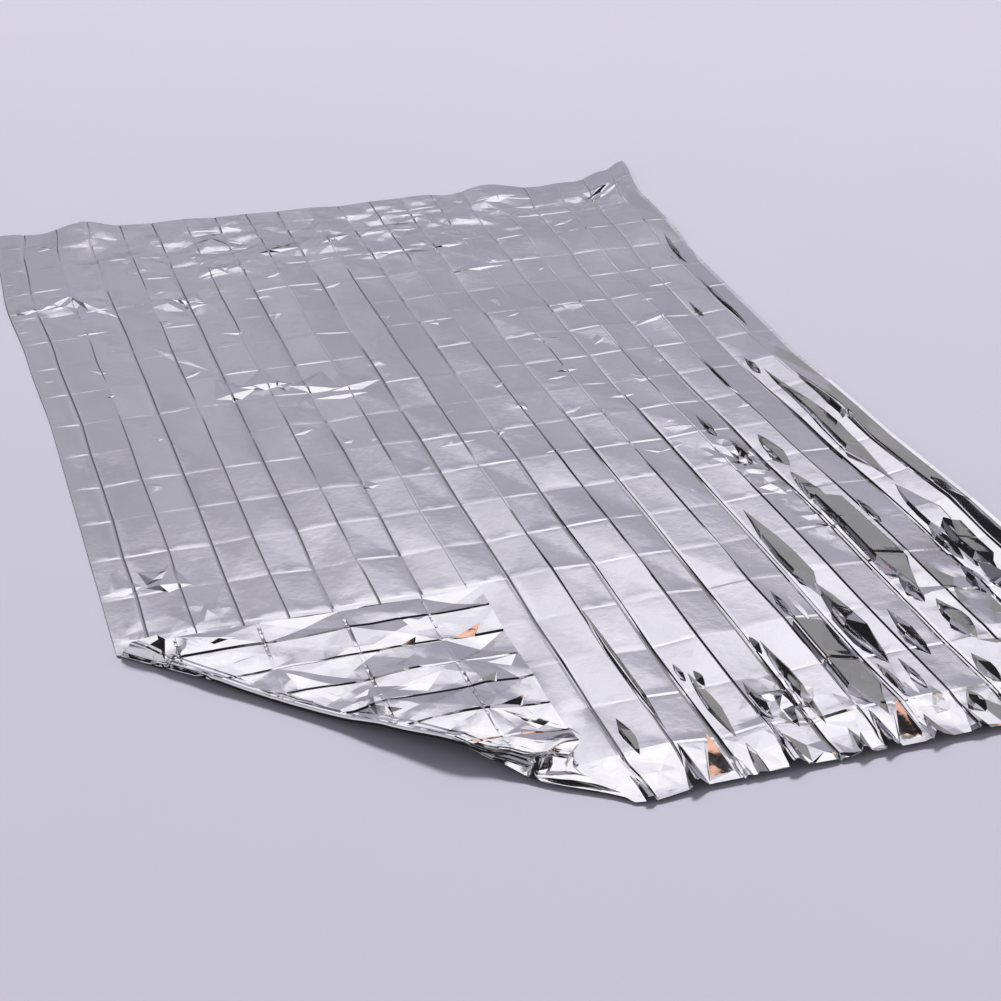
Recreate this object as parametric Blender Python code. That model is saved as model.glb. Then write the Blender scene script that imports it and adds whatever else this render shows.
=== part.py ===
"""Emergency foil blanket, opened from its packet and laid out flat, with its front left corner turned over.

One piece of metallised film. The packet's folds leave a grid of creases: long ones that stand as low
pleats, and cross ones that break each pleat into cells. Lengths are in metres. While the sheet is
worked out, x runs across it and y along it, from where its front left corner would lie if it were
turned back. The solid has its underside on z = 0.
"""

import math
from collections import namedtuple

import bmesh
import bpy
from mathutils import Vector, noise

# The sheet as it lies, with its pleats not quite pulled flat.
WIDTH = 1.300
LENGTH = 2.090
THICKNESS = 0.001

# Long creases run along y. Odd ones are valleys that touch the floor, even ones are ridges.
LONG_CREASES = 20
FIRST_STRIP = 0.047
STRIP = 0.0634
CONTACT_HALF = 0.004

# Cross creases run along x.
CROSS_CREASES = 18
FIRST_ROW = 0.085
ROW = 0.1135

# The front left corner turns over along a line at 45 degrees, CORNER_LEG along each edge.
CORNER_LEG = 0.500
TURN_RADIUS = 0.005
TURN_STEPS = 6
QUARTER_TURN = math.pi * TURN_RADIUS / 2.0
FLAP_GAP = 0.0095

# The pleats' height at the back, then what is added up to the middle, and again in the front right.
PLEAT_BACK = 0.0035
PLEAT_MIDDLE = 0.0035
PLEAT_FRONT_RIGHT = 0.0050
MIDDLE_ENDS = (1.20, 1.90)
RIGHT_STARTS = (0.45, 0.80)
FRONT_ENDS = (0.50, 1.20)
SIDE_PRESS = 0.030

# Smaller relief: what is left of a pleat under the turned corner and at the front edge, the first cross
# crease standing up, the break at the other cross creases, and the bow of each cell.
PLEAT_PRESSED = 0.35
PRESSED_MARGIN = 0.050
FRONT_EDGE_PLEAT = 0.45
FRONT_TENT = 0.009
TENT_UNEVEN = 0.35
CROSS_BREAK = 0.0016
CELL_BOW = 0.0010

# The turned corner's own relief, and how far in from the fold it takes to settle.
FLAP_PLEAT = 0.0045
FLAP_BREAK = 0.0012
FLAP_LIP = 0.004
FLAP_CLEAR = 0.003
FLAP_SETTLES = 0.060

Station = namedtuple("Station", "at value")
EdgePoint = namedtuple("EdgePoint", "x shift rise")
Buckle = namedtuple("Buckle", "x y half_width half_length turn_deg rise")

# How far the turned edge is lifted off the floor, along the fold from the left edge to the front one.
FOLD_LIFT = (
    Station(0.000, 0.000),
    Station(0.080, 0.001),
    Station(0.130, 0.016),
    Station(0.180, 0.013),
    Station(0.240, 0.004),
    Station(0.310, 0.004),
    Station(0.420, 0.017),
    Station(0.500, 0.024),
    Station(0.550, 0.018),
    Station(0.600, 0.006),
    Station(0.707, 0.008),
)
LIFT_REACH = 0.150

# The left and right edges drift in and out along y, and the front one along x.
LEFT_DRIFT = (
    Station(0.00, 0.000),
    Station(1.20, 0.000),
    Station(1.50, -0.008),
    Station(1.75, -0.018),
    Station(1.95, -0.012),
    Station(2.09, 0.004),
)
RIGHT_DRIFT = (
    Station(0.00, 0.000),
    Station(0.45, -0.009),
    Station(0.85, -0.024),
    Station(1.10, -0.032),
    Station(1.35, -0.025),
    Station(1.60, -0.020),
    Station(1.75, -0.007),
    Station(1.92, 0.000),
    Station(2.09, 0.028),
)
FRONT_DRIFT = (
    Station(0.48, 0.000),
    Station(0.55, -0.008),
    Station(0.65, 0.000),
    Station(1.30, 0.000),
)

# The back edge waves along x.
BACK_EDGE = (
    EdgePoint(0.000, 0.025, 0.001),
    EdgePoint(0.080, -0.002, 0.003),
    EdgePoint(0.168, 0.012, 0.014),
    EdgePoint(0.240, -0.010, 0.004),
    EdgePoint(0.360, -0.017, 0.007),
    EdgePoint(0.480, -0.018, 0.004),
    EdgePoint(0.655, -0.030, 0.005),
    EdgePoint(0.835, -0.032, 0.008),
    EdgePoint(0.900, -0.036, 0.004),
    EdgePoint(0.977, -0.020, 0.010),
    EdgePoint(1.095, -0.040, 0.003),
    EdgePoint(1.160, -0.036, 0.004),
    EdgePoint(1.240, 0.000, 0.006),
    EdgePoint(1.300, 0.042, 0.008),
)
BACK_BAND = 0.30
BACK_LIP = 0.09
BACK_CRUMPLE = 0.006
CRUMPLE_STARTS = (1.55, 1.80)
DRIFT_REACH = (0.30, 0.60)

# The larger crumples and buckles, each a soft bump.
BUCKLES = (
    Buckle(0.060, 0.670, 0.025, 0.050, 20, 0.008),
    Buckle(0.130, 0.555, 0.022, 0.030, -30, 0.007),
    Buckle(0.340, 1.270, 0.030, 0.075, 70, 0.011),
    Buckle(0.480, 1.235, 0.025, 0.080, -78, 0.010),
    Buckle(0.020, 1.735, 0.016, 0.055, 60, 0.009),
    Buckle(0.140, 1.720, 0.020, 0.075, 35, 0.010),
    Buckle(0.240, 1.430, 0.016, 0.090, 28, 0.006),
    Buckle(0.300, 1.690, 0.025, 0.045, 15, 0.007),
    Buckle(0.370, 1.800, 0.022, 0.060, 48, 0.007),
    Buckle(0.510, 1.890, 0.015, 0.050, 85, 0.009),
    Buckle(0.625, 1.900, 0.015, 0.045, -70, 0.008),
    Buckle(0.710, 1.800, 0.018, 0.060, 75, 0.007),
    Buckle(0.860, 1.680, 0.016, 0.060, -75, 0.006),
    Buckle(1.205, 1.970, 0.018, 0.055, -70, 0.010),
    Buckle(1.100, 1.330, 0.012, 0.060, 75, 0.005),
    Buckle(0.870, 1.165, 0.014, 0.040, 30, 0.005),
    Buckle(1.139, 1.095, 0.012, 0.080, 2, 0.008),
    Buckle(1.039, 0.925, 0.012, 0.060, -6, 0.009),
    Buckle(1.052, 0.820, 0.013, 0.050, 14, 0.009),
    Buckle(1.100, 0.800, 0.014, 0.060, -12, 0.010),
    Buckle(1.228, 0.900, 0.014, 0.190, 3, 0.010),
    Buckle(1.100, 0.650, 0.014, 0.080, 4, 0.010),
    Buckle(0.976, 0.550, 0.012, 0.090, 2, 0.010),
    Buckle(0.924, 0.270, 0.014, 0.120, 0, 0.010),
    Buckle(0.981, 0.300, 0.013, 0.110, 0, 0.011),
    Buckle(0.842, 0.190, 0.010, 0.100, 0, 0.009),
    Buckle(0.719, 0.180, 0.010, 0.090, 0, 0.008),
    Buckle(0.594, 0.135, 0.009, 0.050, 0, 0.007),
)

FOIL_COLOUR = (0.72, 0.71, 0.75, 1.0)


def smooth(value, low, high):
    """0 below low, 1 above high, and an S-curve between them."""
    t = min(max((value - low) / (high - low), 0.0), 1.0)
    return t * t * (3.0 - 2.0 * t)


def along(table, at):
    """The table's value at a station, eased between its rows."""
    for before, after in zip(table, table[1:]):
        if at <= after.at:
            t = smooth(at, before.at, after.at)
            return before.value + t * (after.value - before.value)
    return table[-1].value


def crease_x(number):
    return FIRST_STRIP + STRIP * (number - 1)


def row_y(number):
    return FIRST_ROW + ROW * number


def columns():
    """Every x where the sheet has a line of points, from left to right."""
    stops = [0.0]
    for number in range(1, LONG_CREASES + 1):
        x = crease_x(number)
        stops += [x - CONTACT_HALF, x + CONTACT_HALF] if number % 2 else [x]
    stops.append(WIDTH)
    return with_middles(stops, 3.0 * CONTACT_HALF)


def rows():
    """Every y where the sheet has a line of points, from front to back."""
    return with_middles([0.0] + [row_y(k) for k in range(CROSS_CREASES)] + [LENGTH], 0.0)


def with_middles(stops, least):
    """The stops, with a middle one in each interval longer than least."""
    filled = [stops[0]]
    for before, after in zip(stops, stops[1:]):
        if after - before > least:
            filled.append((before + after) / 2)
        filled.append(after)
    return filled


def pleat(x):
    """0 on the strips that touch the floor and 1 on the ridges, straight between them."""
    place = (x - FIRST_STRIP) / STRIP
    from_valley = abs(place - 2.0 * round(place / 2.0)) * STRIP
    return min(max((from_valley - CONTACT_HALF) / (STRIP - CONTACT_HALF), 0.0), 1.0)


def across_strip(x):
    """0 on the strips that touch the floor and on the ridges, and 1 halfway between them."""
    return 1.0 - abs(2.0 * pleat(x) - 1.0)


def near_row(y):
    """1 on a cross crease and 0 halfway between two of them."""
    place = (y - FIRST_ROW) / ROW
    return abs(2.0 * (place - math.floor(place)) - 1.0)


def checker(x, y):
    """+1 or -1, alternating from strip to strip and from one cross crease to the next."""
    strip = math.floor((x - FIRST_STRIP) / STRIP)
    row = round((y - FIRST_ROW) / ROW)
    return 1.0 if (strip + row) % 2 else -1.0


def pleat_height(x, y):
    middle = PLEAT_MIDDLE * (1.0 - smooth(y, *MIDDLE_ENDS))
    front_right = PLEAT_FRONT_RIGHT * smooth(x, *RIGHT_STARTS) * (1.0 - smooth(y, *FRONT_ENDS))
    edge = FRONT_EDGE_PLEAT + (1.0 - FRONT_EDGE_PLEAT) * smooth(y, 0.0, FIRST_ROW)
    return (PLEAT_BACK + middle + front_right) * edge * smooth(x, -SIDE_PRESS, FIRST_STRIP)


def uneven(x, y, waves_per_metre):
    """Smooth noise between -1 and 1."""
    return noise.noise(Vector((x, y, 0.3)) * waves_per_metre)


def cell_height(x, y):
    """The break at each cross crease and the slight bow of each cell."""
    at_row = near_row(y)
    bow = CELL_BOW * uneven(x, y, 8.0) * (1.0 - at_row)
    return across_strip(x) * (CROSS_BREAK * checker(x, y) * at_row + bow)


def front_tent(x, y):
    """The first cross crease stands up along the front edge."""
    rise = smooth(y, 0.0, FIRST_ROW) * (1.0 - smooth(y, FIRST_ROW, row_y(1)))
    return FRONT_TENT * (1.0 - TENT_UNEVEN * (0.5 - uneven(x, 0.0, 11.0))) * rise


def bump(buckle, x, y):
    """The height that one buckle adds at a point."""
    turn = math.radians(buckle.turn_deg)
    dx = x - buckle.x
    dy = y - buckle.y
    side = (dx * math.cos(turn) + dy * math.sin(turn)) / buckle.half_width
    run = (dy * math.cos(turn) - dx * math.sin(turn)) / buckle.half_length
    return buckle.rise * max(0.0, 1.0 - side * side - run * run)


def back_wave(x, y):
    """(shift along y, height) that the waving back edge gives a point."""
    shift = along([Station(p.x, p.shift) for p in BACK_EDGE], x)
    rise = along([Station(p.x, p.rise) for p in BACK_EDGE], x)
    at_edge = smooth(y, LENGTH - BACK_LIP, LENGTH)
    crumple = BACK_CRUMPLE * max(0.0, uneven(x, y, 15.0)) * smooth(y, *CRUMPLE_STARTS)
    return shift * smooth(y, LENGTH - BACK_BAND, LENGTH), rise * at_edge + crumple * (1.0 - at_edge)


def fold_place(x, y):
    """(along the fold line from the left edge, across it), the latter negative in the turned corner."""
    return (x - y + CORNER_LEG) / math.sqrt(2.0), (x + y - CORNER_LEG) / math.sqrt(2.0)


def from_fold(run, across):
    """The point at this place along and across the fold line."""
    x = (run + across) / math.sqrt(2.0)
    return x, (across - run) / math.sqrt(2.0) + CORNER_LEG


def fold_lift(run, across):
    """How far the sheet is lifted at this distance inside the turned edge."""
    return along(FOLD_LIFT, run) * (1.0 - smooth(across, 0.0, LIFT_REACH))


def under_flap(x, y):
    """1 where the turned corner presses the sheet, fading to 0 around it."""
    outside = max(x - CORNER_LEG, y - CORNER_LEG)
    return 1.0 - smooth(outside, 0.0, PRESSED_MARGIN)


def sheet_height(x, y):
    """The height of the sheet's underside where it isn't turned over."""
    relief = pleat(x) * pleat_height(x, y) + cell_height(x, y) + front_tent(x, y)
    relief += sum(bump(buckle, x, y) for buckle in BUCKLES)
    relief += back_wave(x, y)[1]
    relief = max(relief, 0.0) * (1.0 - under_flap(x, y) * (1.0 - PLEAT_PRESSED))
    return relief + fold_lift(*fold_place(x, y))


def flap_relief(x, y):
    """The pleats of the turned corner, which stand the other way up, and its lifted free edges."""
    lip = FLAP_LIP * (1.0 - smooth(min(x, y), 0.0, FIRST_STRIP))
    cross = FLAP_BREAK * across_strip(x) * checker(x, y) * near_row(y)
    return FLAP_PLEAT * (1.0 - pleat(x)) + cross + lip


def flat_place(x, y):
    """A point of the part that lies flat."""
    left = along(LEFT_DRIFT, y) * (1.0 - smooth(x, 0.0, DRIFT_REACH[0]))
    right = along(RIGHT_DRIFT, y) * smooth(x, WIDTH - DRIFT_REACH[1], WIDTH)
    front = along(FRONT_DRIFT, x) * (1.0 - smooth(y, 0.0, FIRST_ROW))
    return Vector((x + left + right, y + front + back_wave(x, y)[0], sheet_height(x, y)))


def turn_place(run, across):
    """A point of the round turn, which rises to the gap between the two layers."""
    angle = (QUARTER_TURN - across) / TURN_RADIUS
    x, y = from_fold(run, QUARTER_TURN - TURN_RADIUS * math.sin(angle))
    foot = sheet_height(*from_fold(run, QUARTER_TURN))
    spread = (FLAP_GAP - 2.0 * TURN_RADIUS) * angle / math.pi
    return Vector((x, y, foot + spread + TURN_RADIUS * (1.0 - math.cos(angle))))


def flap_place(x, y):
    """A point of the turned corner, which lies upside down on the sheet."""
    run, across = fold_place(x, y)
    foot = sheet_height(*from_fold(run, QUARTER_TURN)) - fold_lift(run, QUARTER_TURN)
    settled = smooth(-across, QUARTER_TURN, FLAP_SETTLES)
    base = foot + (FLAP_CLEAR - foot) * settled + fold_lift(run, -across) + FLAP_GAP
    lying_x, lying_y = from_fold(run, -across)
    return Vector((lying_x, lying_y, base + settled * flap_relief(x, y)))


def lying_place(x, y):
    """Where a point of the sheet's underside lies."""
    run, across = fold_place(x, y)
    if across >= QUARTER_TURN:
        return flat_place(x, y)
    if across > -QUARTER_TURN:
        return turn_place(run, across)
    return flap_place(x, y)


def turn_lines():
    """Distances across the fold line at which the sheet is cut so that it can bend."""
    bends = [QUARTER_TURN * (1.0 - 2.0 * step / TURN_STEPS) for step in range(TURN_STEPS + 1)]
    return bends + [side * (QUARTER_TURN + FLAP_SETTLES / 2.0) for side in (-1.0, 1.0)]


def flat_sheet():
    """The film's points in their flat places, as one layer of faces."""
    mesh = bmesh.new()
    lines = [[mesh.verts.new((x, y, 0.0)) for x in columns()] for y in rows()]
    for front, back in zip(lines, lines[1:]):
        for left in range(len(front) - 1):
            mesh.faces.new((front[left], front[left + 1], back[left + 1], back[left]))
    across = Vector((1.0, 1.0, 0.0)).normalized()
    for distance in turn_lines():
        point = Vector((*from_fold(0.0, distance), 0.0))
        everything = mesh.verts[:] + mesh.edges[:] + mesh.faces[:]
        bmesh.ops.bisect_plane(mesh, geom=everything, dist=1e-5, plane_co=point, plane_no=across)
    return mesh


def centred(mesh):
    """Moves the mesh so that its box is centred on x = y = 0 and stands on z = 0."""
    low = Vector(min(vert.co[axis] for vert in mesh.verts) for axis in range(3))
    high = Vector(max(vert.co[axis] for vert in mesh.verts) for axis in range(3))
    middle = (low + high) / 2.0
    bmesh.ops.translate(mesh, verts=mesh.verts[:], vec=(-middle.x, -middle.y, -low.z))


def foil_material():
    material = bpy.data.materials.new("foil")
    material.use_nodes = True
    shader = material.node_tree.nodes["Principled BSDF"]
    shader.inputs["Base Color"].default_value = FOIL_COLOUR
    shader.inputs["Metallic"].default_value = 1.0
    shader.inputs["Roughness"].default_value = 0.18
    return material


def foil_sheet():
    mesh = flat_sheet()
    for vert in mesh.verts:
        vert.co = lying_place(vert.co.x, vert.co.y)
    centred(mesh)
    data = bpy.data.meshes.new("foil_sheet")
    mesh.to_mesh(data)
    mesh.free()
    data.materials.append(foil_material())
    sheet = bpy.data.objects.new("foil_sheet", data)
    bpy.context.scene.collection.objects.link(sheet)
    film = sheet.modifiers.new("film", "SOLIDIFY")
    film.thickness = THICKNESS
    film.offset = 1.0
    film.use_even_offset = True
    return sheet


for old in list(bpy.data.objects):
    bpy.data.objects.remove(old)
foil_sheet()
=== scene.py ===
"""Emergency foil blanket, opened from its packet and laid out flat, with one front corner turned over."""

import math
from collections import namedtuple

import bpy
import numpy as np
from mathutils import Euler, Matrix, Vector
from mathutils.geometry import delaunay_2d_cdt


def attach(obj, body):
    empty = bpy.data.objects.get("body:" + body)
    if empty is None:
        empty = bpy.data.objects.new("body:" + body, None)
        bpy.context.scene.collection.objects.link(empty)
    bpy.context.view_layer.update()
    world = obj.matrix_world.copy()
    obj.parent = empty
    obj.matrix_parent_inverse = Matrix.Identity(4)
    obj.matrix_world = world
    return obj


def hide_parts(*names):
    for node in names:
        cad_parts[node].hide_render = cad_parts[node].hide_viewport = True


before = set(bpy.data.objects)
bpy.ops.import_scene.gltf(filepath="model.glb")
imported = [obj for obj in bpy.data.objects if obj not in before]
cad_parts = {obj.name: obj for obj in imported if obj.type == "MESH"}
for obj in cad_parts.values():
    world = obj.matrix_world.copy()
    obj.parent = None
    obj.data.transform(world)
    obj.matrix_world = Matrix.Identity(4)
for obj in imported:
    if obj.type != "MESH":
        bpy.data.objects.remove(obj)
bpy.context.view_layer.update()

# ---- The film as cut, and its grid of creases ----------------------------------------------------
# One piece of metallised film about 12 micrometres thick, 1.32 by 2.13 m. It comes folded into a
# packet the size of a hand, so 20 long creases and 18 cross ones divide it into 21 by 19 cells.
# While the film is worked out, x runs across it and y along it from its front left corner.

WIDTH = 1.300
LENGTH = 2.090
MIDDLE = (0.655, 1.062)

LONG_CREASES = 20
FIRST_STRIP = 0.047
STRIP = 0.0634
CROSS_CREASES = 18
FIRST_ROW = 0.085
ROW = 0.1135

STRIP_STOPS = [0.0] + [FIRST_STRIP + STRIP * n for n in range(LONG_CREASES)] + [WIDTH]
ROW_STOPS = [0.0] + [FIRST_ROW + ROW * n for n in range(CROSS_CREASES)] + [LENGTH]


def smooth(value, low, high):
    """0 below low, 1 above high, and an S-curve between them."""
    t = np.clip((value - low) / (high - low), 0.0, 1.0)
    return t * t * (3.0 - 2.0 * t)


Station = namedtuple("Station", "at value")


def along(table, at):
    """The table's value at stations, eased between its rows."""
    ats = np.array([row.at for row in table])
    values = np.array([row.value for row in table])
    before = np.clip(np.searchsorted(ats, at) - 1, 0, len(ats) - 2)
    t = smooth(at, ats[before], ats[before + 1])
    return values[before] + t * (values[before + 1] - values[before])


dice = np.random.default_rng(52)
MEETINGS = (len(ROW_STOPS), len(STRIP_STOPS))


def meeting_table():
    """A random value from -1 to 1 for every meeting of two creases."""
    return dice.uniform(-1.0, 1.0, MEETINGS)


def cell_place(x, y):
    """(column, row, place across the cell, place along it), the last two from 0 to 1."""
    across = np.interp(x, STRIP_STOPS, np.arange(len(STRIP_STOPS)))
    up = np.interp(y, ROW_STOPS, np.arange(len(ROW_STOPS)))
    column = np.minimum(across.astype(int), len(STRIP_STOPS) - 2)
    row = np.minimum(up.astype(int), len(ROW_STOPS) - 2)
    return column, row, across - column, up - row


def at_meetings(table, x, y):
    """The table's value, eased from one meeting of creases to the next."""
    column, row, u, v = cell_place(x, y)
    front = table[row, column] * (1.0 - u) + table[row, column + 1] * u
    back = table[row + 1, column] * (1.0 - u) + table[row + 1, column + 1] * u
    return front * (1.0 - v) + back * v


def over_cells(corners, centres, x, y):
    """Heights over cells that are each four flat triangles, from their corners and middles."""
    column, row, u, v = cell_place(x, y)
    a = corners[row, column]
    b = corners[row, column + 1]
    c = corners[row + 1, column + 1]
    d = corners[row + 1, column]
    middle = centres[row, column] + (a + b + c + d) / 4.0
    front = a * (1.0 - u - v) + b * (u - v) + 2.0 * v * middle
    back = d * (v - u) + c * (u + v - 1.0) + 2.0 * (1.0 - v) * middle
    left = a * (1.0 - u - v) + d * (v - u) + 2.0 * u * middle
    right = b * (u - v) + c * (u + v - 1.0) + 2.0 * (1.0 - u) * middle
    below = v <= u
    before = v <= 1.0 - u
    return np.where(below, np.where(before, front, right), np.where(before, left, back))


# Ridges stand between valleys that touch the floor. They are low, but steep along the right edge.
PLEATS = (
    Station(0.00, 0.0026),
    Station(0.62, 0.0030),
    Station(1.00, 0.0038),
    Station(1.19, 0.0050),
    Station(1.25, 0.0120),
    Station(1.30, 0.0120),
)
PLEAT_BACK = 0.0020
BACK_STARTS = (0.45, 1.00)
BACK_STARTS_AT_EDGE = (1.00, 1.24)
EDGE_FROM = (1.19, 1.25)
RIGHT_STARTS = (0.45, 0.80)
FRONT_ENDS = (0.50, 1.20)
FRONT_EDGE_PLEAT = 0.45
PLEAT_UNEVEN = 0.30
RIDGE_SHIFT = 0.004
MEETING_LIFT = 0.0011
MEETING_WANDER = (0.0014, 0.0030)
CELL_BOW = 0.0010

# The first cross crease stands up, and the cells in front of it tip down to the floor and break up.
FRONT_TENT = 0.0036
TENT_UNEVEN = 0.30
EDGE_LIFT = 0.0035
FRONT_BOW = 0.0036


def pleat(x):
    """0 on the valley creases and 1 on the ridges, straight between them."""
    place = (x - FIRST_STRIP) / STRIP
    return np.abs(place - 2.0 * np.round(place / 2.0))


def front_right(x, y):
    """1 where the film stands up most, in front and to the right."""
    return smooth(x, *RIGHT_STARTS) * (1.0 - smooth(y, *FRONT_ENDS))


def pleat_height(x, y):
    at_edge = smooth(x, *EDGE_FROM)
    starts = BACK_STARTS[0] + at_edge * (BACK_STARTS_AT_EDGE[0] - BACK_STARTS[0])
    ends = BACK_STARTS[1] + at_edge * (BACK_STARTS_AT_EDGE[1] - BACK_STARTS[1])
    back = smooth(y, starts, ends)
    height = along(PLEATS, x) * (1.0 - back) + PLEAT_BACK * back
    edge = FRONT_EDGE_PLEAT + (1.0 - FRONT_EDGE_PLEAT) * smooth(y, 0.0, FIRST_ROW)
    return height * edge


def meeting_heights():
    """How high the film stands where two creases meet."""
    x, y = np.meshgrid(STRIP_STOPS, ROW_STOPS)
    heights = pleat(x) * pleat_height(x, y) * (1.0 + PLEAT_UNEVEN * meeting_table())
    heights += MEETING_LIFT * (1.0 + meeting_table())
    heights[1] += FRONT_TENT * (1.0 + TENT_UNEVEN * meeting_table()[1])
    heights[0] += EDGE_LIFT * np.maximum(meeting_table()[0], 0.0)
    return heights


def cell_bows():
    bows = CELL_BOW * meeting_table()
    bows[0] = FRONT_BOW * meeting_table()[0]
    return bows


ridge_heights = meeting_heights()
bows = cell_bows()
meeting_wander = (meeting_table(), meeting_table())

# Each crease is a line of its own: a groove, deepest in the valleys, where it lies in a soft trough.
# A cross crease is a low step with a dip in front. It swells in the middle of each strip.
GROOVE_DEPTH = 0.0012
GROOVE_FRONT_RIGHT = 0.0030
GROOVE_HALF = 0.0026
GROOVE_SHARE = 0.80
TROUGH_HALF = 0.0066
RIDGE_GROOVE = 0.0011
RIDGE_GROOVE_FRONT_RIGHT = 0.0014
RIDGE_GROOVE_HALF = 0.0020
CROSS_LINE = 0.0008
CROSS_PLACES = (-0.0064, -0.0022, 0.0022, 0.0170)
CROSS_HEIGHTS = (0.0, -0.35, 1.0, 0.0)
CROSS_QUIET = 0.52
LINE_UNEVEN = 0.35

groove_strength = meeting_table()
ridge_strength = dice.uniform(0.30, 1.20, MEETINGS)

# Most cross creases are faint. Some are bold, a few fold the other way, and in the strip along the
# left edge all are bold but the first. Two cut through steep cells, each named by a place behind it.
FAINT_CROSSING = (0.10, 0.85)
BOLD_CROSSING = 1.05
BOLD_SHARE = 0.14
OTHER_WAY = -0.40
OTHER_WAY_SHARE = 0.09
LEFT_CROSSING = 1.10
LOUD_CROSSING = 2.10
LOUD_PLACES = ((0.903, 0.21), (1.093, 0.44))

cross_strength = dice.uniform(*FAINT_CROSSING, MEETINGS)
cross_strength[dice.random(MEETINGS) < BOLD_SHARE] = BOLD_CROSSING
cross_strength[dice.random(MEETINGS) < OTHER_WAY_SHARE] = OTHER_WAY
cross_strength[2:, 0] = LEFT_CROSSING
for loud_x, loud_y in LOUD_PLACES:
    loud_column = np.searchsorted(STRIP_STOPS, loud_x) - 1
    loud_row = np.searchsorted(ROW_STOPS, loud_y) - 1
    cross_strength[loud_row, loud_column] = LOUD_CROSSING


def to_long_crease(x):
    """(distance from the nearest long crease, whether it is a valley)."""
    number = np.clip(np.round((x - FIRST_STRIP) / STRIP), 0, LONG_CREASES - 1)
    return np.abs(x - FIRST_STRIP - STRIP * number), number % 2 == 0


def to_cross_crease(y):
    """(how far behind the nearest cross crease, that crease's row of meetings)."""
    number = np.clip(np.round((y - FIRST_ROW) / ROW), 0, CROSS_CREASES - 1)
    return y - FIRST_ROW - ROW * number, number.astype(int) + 1


def long_lines(x, y):
    off, valley = to_long_crease(x)
    strength = 1.0 + LINE_UNEVEN * at_meetings(groove_strength, x, y)
    depth = (GROOVE_DEPTH + GROOVE_FRONT_RIGHT * front_right(x, y)) * strength
    groove = np.interp(off, (0.0, GROOVE_HALF, TROUGH_HALF), (0.0, GROOVE_SHARE, 1.0))
    thin = RIDGE_GROOVE + RIDGE_GROOVE_FRONT_RIGHT * front_right(x, y)
    thin = thin * at_meetings(ridge_strength, x, y) * np.clip(1.0 - off / RIDGE_GROOVE_HALF, 0.0, 1.0)
    return np.where(valley, depth * groove, depth - thin)


def cross_lines(x, y):
    off, row = to_cross_crease(y)
    column, _, across, _ = cell_place(x, y)
    swell = np.sin(math.pi * across) ** 0.4
    rise = np.interp(off, CROSS_PLACES, CROSS_HEIGHTS)
    loud = CROSS_QUIET + (1.0 - CROSS_QUIET) * front_right(x, y)
    return CROSS_LINE * cross_strength[row, column] * loud * swell * rise


# ---- Crumples, buckles and worn edges ------------------------------------------------------------
# The film has been handled: it holds sharp little crumples, and where its pleats were pulled apart
# unevenly narrow blisters stand up beside the creases. Each is a few flat faces pressed into the film.

Shape = namedtuple("Shape", "points heights triangles")


def shape_of(points, heights, triangles):
    """The shape with these corners, kept on the film."""
    points = np.clip(np.array(points, dtype=float), (0.0, 0.0), (WIDTH, LENGTH))
    return Shape(points, np.array(heights), np.array(triangles))


# Patches of small facets, in an oval that fades out at its rim.
Patch = namedtuple("Patch", "x y half_width half_length size rise")
PATCHES = (
    Patch(0.130, 0.555, 0.050, 0.040, 0.024, 0.0024),
    Patch(0.030, 0.530, 0.060, 0.055, 0.028, 0.0020),
    Patch(0.420, 1.225, 0.200, 0.060, 0.036, 0.0012),
    Patch(0.090, 1.700, 0.130, 0.070, 0.034, 0.0024),
    Patch(0.300, 1.660, 0.090, 0.070, 0.032, 0.0022),
    Patch(0.390, 1.790, 0.150, 0.080, 0.038, 0.0026),
    Patch(0.720, 1.790, 0.220, 0.060, 0.042, 0.0022),
    Patch(1.020, 0.800, 0.045, 0.060, 0.017, 0.0034),
    Patch(1.035, 0.690, 0.030, 0.110, 0.017, 0.0022),
    Patch(1.050, 0.560, 0.030, 0.080, 0.017, 0.0020),
    Patch(1.120, 0.330, 0.080, 0.060, 0.024, 0.0024),
    Patch(1.220, 1.980, 0.100, 0.080, 0.034, 0.0030),
    Patch(1.180, 0.160, 0.120, 0.120, 0.034, 0.0032),
    Patch(0.790, 0.130, 0.050, 0.060, 0.020, 0.0050),
    Patch(0.650, 1.960, 0.700, 0.150, 0.042, 0.0027),
    Patch(0.620, 1.920, 0.700, 0.220, 0.030, 0.0016),
    Patch(0.880, 0.040, 0.480, 0.060, 0.034, 0.0035),
    Patch(0.160, 0.160, 0.280, 0.280, 0.050, 0.0030),
    Patch(0.080, 0.360, 0.100, 0.100, 0.034, 0.0010),
    Patch(0.350, 0.070, 0.120, 0.070, 0.040, 0.0010),
)
JITTER = 0.30
LATTICE_ROW = 0.866
FADE = 1.6


def patch_shape(patch):
    """A lattice of triangles with its points moved about and lifted at random."""
    rows = math.ceil(patch.half_length / patch.size / LATTICE_ROW) + 1
    columns = math.ceil(patch.half_width / patch.size) + rows // 2 + 2
    j, i = np.mgrid[-rows : rows + 1, -columns : columns + 1]
    shift = dice.uniform(-JITTER, JITTER, (2, *i.shape))
    x = patch.x + patch.size * (i + j / 2.0 + shift[0])
    y = patch.y + patch.size * (LATTICE_ROW * j + shift[1])
    out = np.hypot((x - patch.x) / patch.half_width, (y - patch.y) / patch.half_length)
    heights = patch.rise * dice.uniform(-1.0, 1.0, i.shape) * np.clip(FADE * (1.0 - out), 0.0, 1.0)
    index = np.arange(i.size).reshape(i.shape)
    a, b = index[:-1, :-1].ravel(), index[:-1, 1:].ravel()
    c, d = index[1:, :-1].ravel(), index[1:, 1:].ravel()
    triangles = np.concatenate((np.stack((a, b, c), axis=1), np.stack((b, d, c), axis=1)))
    heights = heights.ravel()
    raised = np.abs(heights[triangles]).max(axis=1) > 0.0
    return shape_of(np.stack((x.ravel(), y.ravel()), axis=1), heights, triangles[raised])


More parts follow.
